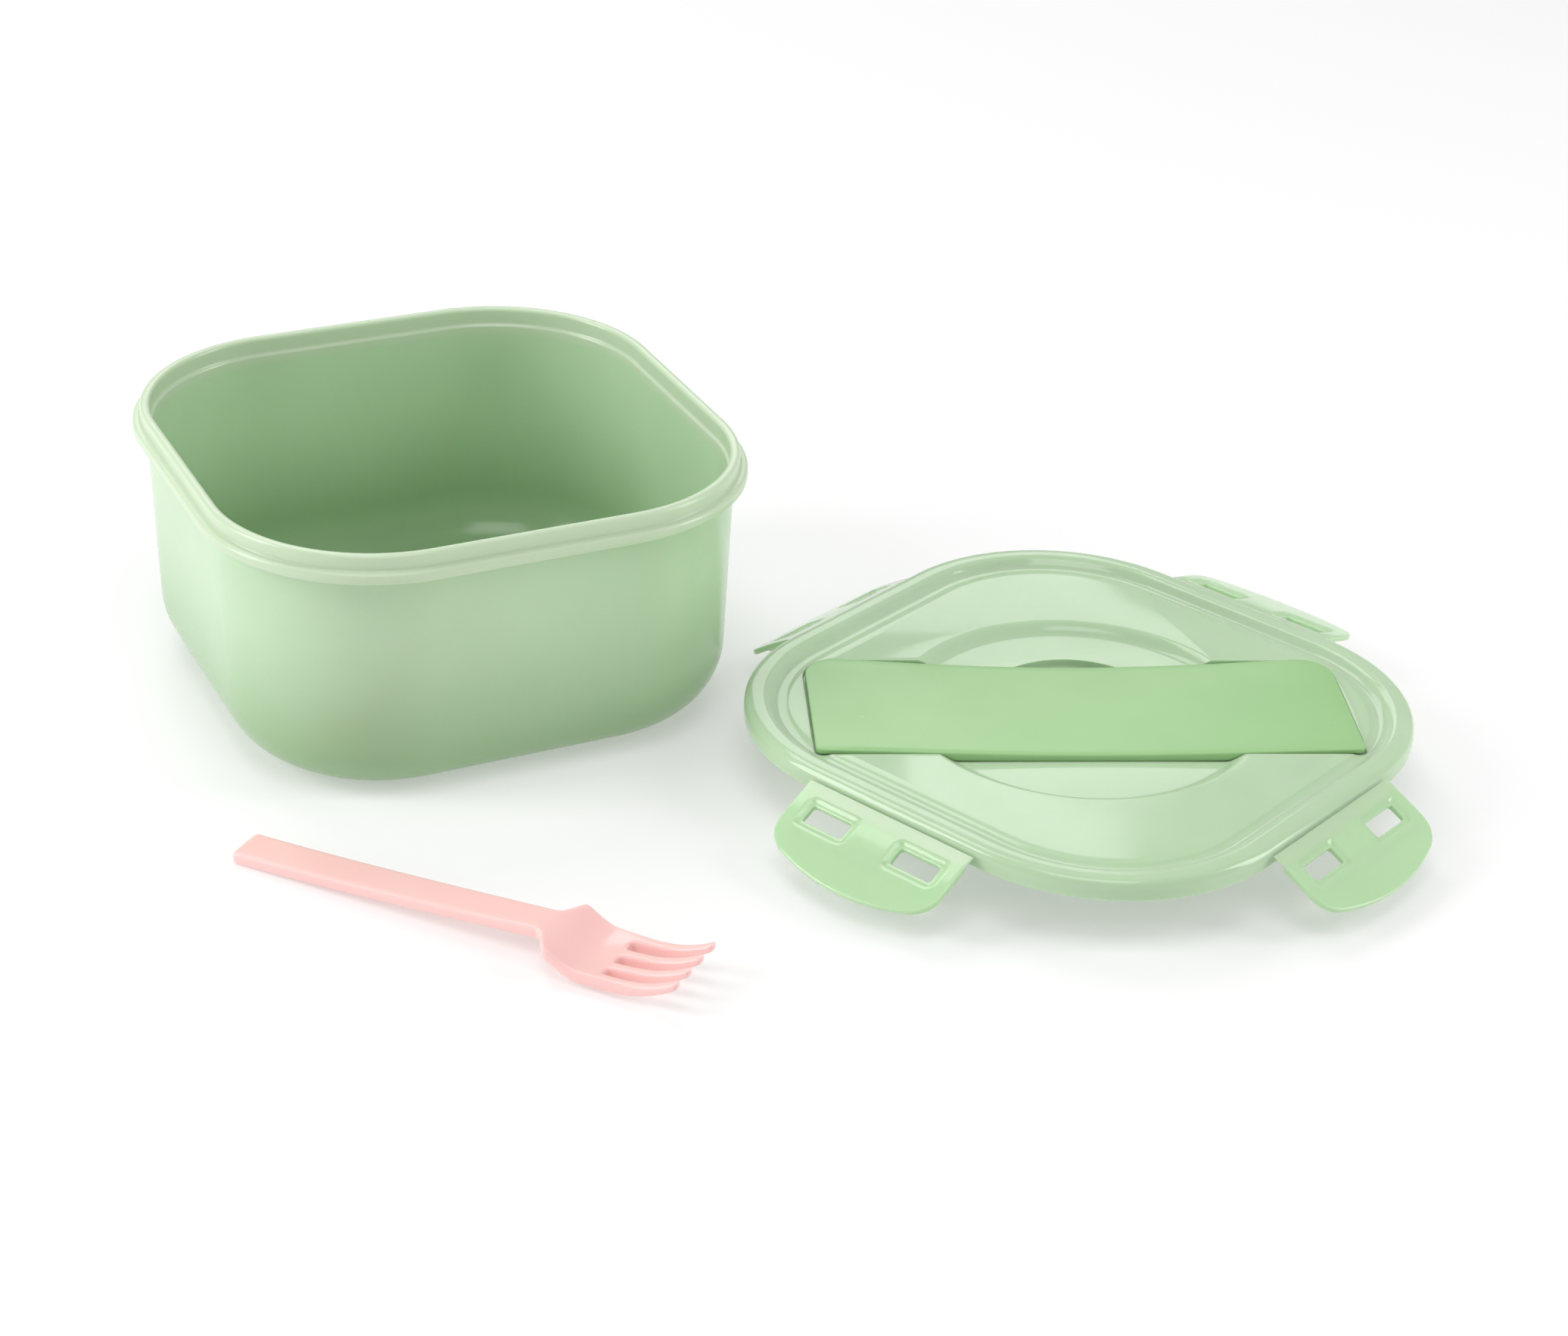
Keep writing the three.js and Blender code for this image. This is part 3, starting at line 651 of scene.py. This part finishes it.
def make_lid():
    above = 10
    half_y = COVER_WIDTH / 2 + COVER_GAP
    tray_half = TRAY_LENGTH / 2

    def opening(grow):
        return rounded_rectangle(COVER_LENGTH / 2 + COVER_GAP + grow, half_y + grow,
                                 COVER_HINGE_CORNER + grow, COVER_FREE_CORNER + grow)

    piece = lathe("lid_moulding", lid_section())
    added = [
        turn_mesh(prism("ledge", lambda grow: opening(TRAY_WALL), -COVER_LEDGE_DEPTH - TRAY_WALL, above),
                  tray_turn),
        tray_body("tray", tray_half + TRAY_WALL, half_y + TRAY_WALL, TRAY_CORNER + TRAY_WALL,
                  -TRAY_DEPTH, above),
        dish("dish_under", DISH_FLOOR_RADIUS + 1, -DISH_DEPTH - LID_SHEET, above),
        notch("notch_under", NOTCH_RADIUS + TRAY_WALL, -NOTCH_DEPTH - TRAY_WALL, above),
    ]
    for index, tool in enumerate(added):
        half = LID_PLUG_HALF - 0.1 - 0.05 * index
        top = -0.7 + 0.05 * index
        inside_plug = lathe("inside_plug", [Vector((0, -TRAY_DEPTH - 1)), Vector((half, -TRAY_DEPTH - 1)),
                                            Vector((half, top)), Vector((0, top))])
        combine(tool, inside_plug, "INTERSECT")
        combine(piece, tool, "UNION")
    combine(piece, dish("dish_cut", DISH_FLOOR_RADIUS, -DISH_DEPTH, 1), "DIFFERENCE")
    combine(piece, turn_mesh(prism("opening", opening, -COVER_LEDGE_DEPTH, above, flare=0.4), tray_turn),
            "DIFFERENCE")
    combine(piece, tray_body("tray_cut", tray_half, half_y, TRAY_CORNER, TRAY_WALL - TRAY_DEPTH, above),
            "DIFFERENCE")
    combine(piece, notch("notch_cut", NOTCH_RADIUS, -NOTCH_DEPTH, above), "DIFFERENCE")
    settle(piece, lid_place, "lid_shell", "lid", lid_plastic, smooth=32)


def make_seal():
    line = soften([
        (75.8, -SEAL_DEPTH, 0), (SEAL_FOOT_HALF, -SEAL_DEPTH, 0.5), (SEAL_HALF, -3.6, 0.4),
        (SEAL_HALF, 0, 0.4), (SEAL_TOP_HALF, 0, 0.4), (SEAL_LIP_HALF, -SEAL_LIP_DEPTH, 0.5),
        (75, -SEAL_DEPTH, 0.3), (75.4, -SEAL_DEPTH, 0)])
    piece = lathe("seal_ring", line, closed=True)
    settle(piece, lid_place, "lid_seal", "lid", seal_silicone)


def make_cover():
    outline = rounded_rectangle(COVER_LENGTH / 2, COVER_WIDTH / 2, COVER_HINGE_CORNER, COVER_FREE_CORNER)

    def place(x, y, up):
        share = (y / (COVER_WIDTH / 2) + 1) / 2
        sag = COVER_HINGE_SAG + (COVER_FREE_SAG - COVER_HINGE_SAG) * share
        sag *= max(0, 1 - (2 * x / COVER_LENGTH) ** 2) ** COVER_SAG_POWER
        lip = COVER_LIP * (1 - smoothstep(0.5, 2, y + COVER_WIDTH / 2))
        lip *= 1 - smoothstep(TRAY_LENGTH / 2 - 8, TRAY_LENGTH / 2 - 3, abs(x))
        return Vector((x, y, COVER_RISE + (up - 1) * (COVER_SHEET + lip) - sag))

    piece = plate("cover_plate", [outline], COVER_SHEET, edge=0.35, spacing=2.5, place=place)
    settle(piece, lid_place @ tray_turn, "fork_compartment_cover", "cover", cover_plastic)


# ---------- latch flaps ----------

def flap_outline():
    half = FLAP_WIDTH / 2
    corner_end = FLAP_LENGTH - FLAP_ARC_DROP
    corner = corner_end - FLAP_CORNER_SET_BACK
    start = corner - FLAP_CORNER
    root = 0.05
    bends = [((start, -half), (corner, -half), (corner_end, -half + FLAP_CORNER), 10),
             ((corner_end, -half + FLAP_CORNER), (FLAP_LENGTH + FLAP_ARC_DROP, 0),
              (corner_end, half - FLAP_CORNER), 36),
             ((corner_end, half - FLAP_CORNER), (corner, half), (start, half), 10)]
    outline = [(root, -half)]
    for first, control, last, steps in bends:
        for step in range(steps):
            t = step / steps
            outline.append(tuple(a * (1 - t) ** 2 + 2 * b * t * (1 - t) + c * t * t
                                 for a, b, c in zip(first, control, last)))
    outline += [(start, half), (root, half)]
    return outline


def slot_distance(x, y):
    """Distance outside a slot's edge, for the nearer slot."""
    away_x = max(0, abs(x - SLOT_X) - SLOT_WIDTH / 2)
    away_y = max(0, abs(abs(y) - SLOT_Y) - SLOT_LENGTH / 2)
    return math.hypot(away_x, away_y)


def make_flap(side):
    joint = joints[f"{side}_flap_hinge"]
    droop = math.radians(-joint["range_deg"][0] - 90)
    point = hinge_point(joint)
    outward = point - lid_centre
    place_flap = (Matrix.Translation(point) @ Matrix.Rotation(math.atan2(outward.y, outward.x), 4, "Z")
                  @ Matrix.Rotation(droop, 4, "Y"))
    slots = [[(x + SLOT_X, y + centre) for x, y in
              rounded_rectangle(SLOT_WIDTH / 2, SLOT_LENGTH / 2, SLOT_CORNER, SLOT_CORNER, steps=5)]
             for centre in (-SLOT_Y, SLOT_Y)]

    def place(x, y, up):
        bow = FLAP_BOW * (x / FLAP_LENGTH) ** 2
        web = 1 - smoothstep(FLAP_WEB_LENGTH - 0.6, FLAP_WEB_LENGTH + 0.2, x)
        sheet = FLAP_SHEET + (FLAP_WEB - FLAP_SHEET) * web
        pocket = SLOT_POCKET * (1 - smoothstep(1, 2.1, slot_distance(x, y)))
        hump = 0
        away = abs(x - CATCH_X)
        if away < CATCH_RADIUS:
            fade = 1 - smoothstep(CATCH_LENGTH / 2 - 1.5, CATCH_LENGTH / 2, abs(y))
            fade *= 1 - smoothstep(0, SLOT_MARGIN, SLOT_MARGIN - slot_distance(x, y))
            hump = math.sqrt(CATCH_RADIUS ** 2 - away ** 2) * fade
        under = (hump + pocket) * (1 - up)
        return Vector((x, y, (up - 1) * sheet - bow - pocket * up - under))

    piece = plate(f"{side}_flap", [flap_outline(), *slots], FLAP_SHEET, edge=0.45, spacing=0.7,
                  place=place)
    settle(piece, place_flap, f"latch_flap_{side}", f"flap_{side}", flap_plastic)


# ---------- fork ----------

def fork_half_width(x):
    handle = FORK_HANDLE_HALF + (FORK_NECK_HALF - FORK_HANDLE_HALF) * x / FORK_NECK
    along = (x - FORK_SHOULDER) / (FORK_LENGTH - FORK_SHOULDER)
    head = FORK_SHOULDER_HALF + (FORK_TIP_HALF - FORK_SHOULDER_HALF) * along
    share = smoothstep(FORK_NECK, FORK_SHOULDER, x)
    return handle * (1 - share) + head * share


def fork_underside(x):
    if x < FORK_NECK:
        return FORK_ARCH * max(0, x / FORK_NECK) ** FORK_ARCH_POWER
    if x < FORK_BELLY:
        return FORK_ARCH * (1 - smoothstep(FORK_NECK, FORK_BELLY, x))
    return FORK_TIP_RISE * ((x - FORK_BELLY) / (FORK_LENGTH - FORK_BELLY)) ** FORK_TIP_RISE_POWER


def tine_edges(tine, x):
    share = (x - FORK_SLOT_START) / (FORK_LENGTH - FORK_SLOT_START)
    width = FORK_TINE_WIDTH + (FORK_TINE_TIP_WIDTH - FORK_TINE_WIDTH) * share
    spread = (fork_half_width(x) - width / 2) / (1 - 1 / FORK_TINES)
    centre = ((2 * tine + 1) / FORK_TINES - 1) * spread
    return centre - width / 2, centre + width / 2


def fork_outline():
    outline = []
    for step in range(7):
        angle = math.pi / 2 * step / 6
        outline.append((FORK_HANDLE_CORNER * (1 - math.cos(angle)),
                        -FORK_HANDLE_HALF + FORK_HANDLE_CORNER * (1 - math.sin(angle))))
    sides = [FORK_SLOT_START * step / 90 for step in range(3, 91)]
    outline += [(x, -fork_half_width(x)) for x in sides]
    tine_steps = 12
    for tine in range(FORK_TINES):
        lengths = [FORK_SLOT_START
                   + (FORK_LENGTH - FORK_TINE_ROUND - FORK_SLOT_START) * step / tine_steps
                   for step in range(1, tine_steps + 1)]
        outline += [(x, tine_edges(tine, x)[0]) for x in lengths]
        low, high = tine_edges(tine, lengths[-1])
        for step in range(1, 8):
            angle = math.pi * step / 8
            outline.append((lengths[-1] + FORK_TINE_ROUND * math.sin(angle),
                            (low + high) / 2 - (high - low) / 2 * math.cos(angle)))
        outline += [(x, tine_edges(tine, x)[1]) for x in reversed(lengths)]
        if tine < FORK_TINES - 1:
            low = tine_edges(tine, FORK_SLOT_START)[1]
            high = tine_edges(tine + 1, FORK_SLOT_START)[0]
            radius = (high - low) / 2
            for step in range(9):
                angle = math.pi * step / 8
                outline.append((FORK_SLOT_START - radius * math.sin(angle),
                                (low + high) / 2 - radius * math.cos(angle)))
    outline += [(x, fork_half_width(x)) for x in reversed(sides)]
    for step in range(7):
        angle = math.pi / 2 * (1 - step / 6)
        outline.append((FORK_HANDLE_CORNER * (1 - math.cos(angle)),
                        FORK_HANDLE_HALF - FORK_HANDLE_CORNER * (1 - math.sin(angle))))
    return outline


def fork_thickness(x):
    tine = max(0, (x - FORK_SLOT_START) / (FORK_LENGTH - FORK_SLOT_START))
    head = smoothstep(FORK_NECK, FORK_SHOULDER, x)
    return (FORK_THICKNESS + (FORK_HEAD_THICKNESS - FORK_THICKNESS) * head
            + (FORK_TIP_THICKNESS - FORK_HEAD_THICKNESS) * tine)


def make_fork():
    def place(x, y, up):
        palm = smoothstep(FORK_NECK, FORK_SHOULDER, x) * (1 - smoothstep(FORK_SHOULDER, FORK_LENGTH, x))
        across = min(1, abs(y) / fork_half_width(x))
        hollow = FORK_HOLLOW * smoothstep(FORK_NECK - 3, FORK_SHOULDER + 3, x) * (1 - across ** 2.5)
        hollow *= 1 - smoothstep(FORK_SHOULDER + 4, FORK_SLOT_START + 4, x)
        height = fork_underside(x) + FORK_CUP * palm * (y / FORK_SHOULDER_HALF) ** 2
        return Vector((x, y, height + up * (fork_thickness(x) - hollow)))

    piece = plate("fork_body", [fork_outline()], FORK_THICKNESS, edge=1.1, spacing=1.2, place=place)
    place_fork = Matrix.Translation(FORK_END) @ Matrix.Rotation(FORK_YAW, 4, "Z")
    settle(piece, place_fork, "fork", "fork", fork_plastic)


make_bowl()
make_lid()
make_seal()
make_cover()
for flap_side in FLAP_SIDES:
    make_flap(flap_side)
make_fork()


# ---------- camera ----------

def make_camera():
    azimuth, elevation, roll = math.radians(27.1), math.radians(28.98), math.radians(2.55)
    target = Vector((93.6, -42.6, 0)) * MM
    distance = 0.955
    heading = Vector((math.sin(azimuth), math.cos(azimuth), 0))
    forward = heading * math.cos(elevation) - Vector((0, 0, math.sin(elevation)))
    right = Vector((heading.y, -heading.x, 0))
    up = right.cross(forward)
    tilted_right = right * math.cos(roll) + up * math.sin(roll)
    tilted_up = up * math.cos(roll) - right * math.sin(roll)
    data = bpy.data.cameras.new("camera")
    data.sensor_fit = "HORIZONTAL"
    data.sensor_width = 36
    data.lens = 72.77
    camera = bpy.data.objects.new("camera", data)
    bpy.context.scene.collection.objects.link(camera)
    rotation = Matrix((tilted_right, tilted_up, -forward)).transposed().to_4x4()
    camera.matrix_world = Matrix.Translation(target - forward * distance) @ rotation
    bpy.context.scene.camera = camera
    return heading, right


# ---------- floor and light ----------

def make_floor():
    bm = bmesh.new()
    bmesh.ops.create_grid(bm, x_segments=1, y_segments=1, size=6)
    floor = new_object("floor", bm)
    floor.location.z = -0.0002
    material = bpy.data.materials.new("floor_paper")
    material.use_nodes = True
    shader = material.node_tree.nodes["Principled BSDF"]
    shader.inputs["Base Color"].default_value = (0.63, 0.63, 0.63, 1)
    shader.inputs["Roughness"].default_value = 0.9
    shader.inputs["Specular IOR Level"].default_value = 0
    shader.inputs["Emission Color"].default_value = (1, 1, 1, 1)
    shader.inputs["Emission Strength"].default_value = 0.35
    floor.data.materials.append(material)


def area_light(name, place, aim, size, power):
    data = bpy.data.lights.new(name, "AREA")
    data.shape = "RECTANGLE"
    data.size, data.size_y = size
    data.energy = power
    light = bpy.data.objects.new(name, data)
    light.location = place
    light.rotation_euler = (aim - place).to_track_quat("-Z", "Y").to_euler()
    bpy.context.scene.collection.objects.link(light)


heading, right = make_camera()
make_floor()
middle = Vector((0.06, -0.04, 0.03))
up = Vector((0, 0, 1))
area_light("key", middle + heading * 0.9 - right * 0.6 + up * 1.5, middle, (0.8, 0.8), 6)
area_light("top", middle - heading * 0.6 + up * 1.65, middle, (1.1, 0.8), 7.4)
area_light("left", middle - right * 1.25 - heading * 0.3 + up * 0.55, middle, (0.5, 1.1), 10.5)
area_light("right", middle + right * 1.3 - heading * 0.1 + up * 0.5, middle, (0.4, 1.1), 7)
area_light("back", middle + heading * 1.6 - right * 0.3 + up * 0.95, middle, (1.3, 0.5), 3.5)
world = bpy.data.worlds.new("studio")
world.use_nodes = True
world.node_tree.nodes["Background"].inputs["Color"].default_value = (1, 1, 1, 1)
world.node_tree.nodes["Background"].inputs["Strength"].default_value = 0.42
bpy.context.scene.world = world
bpy.context.scene.view_settings.view_transform = "Standard"
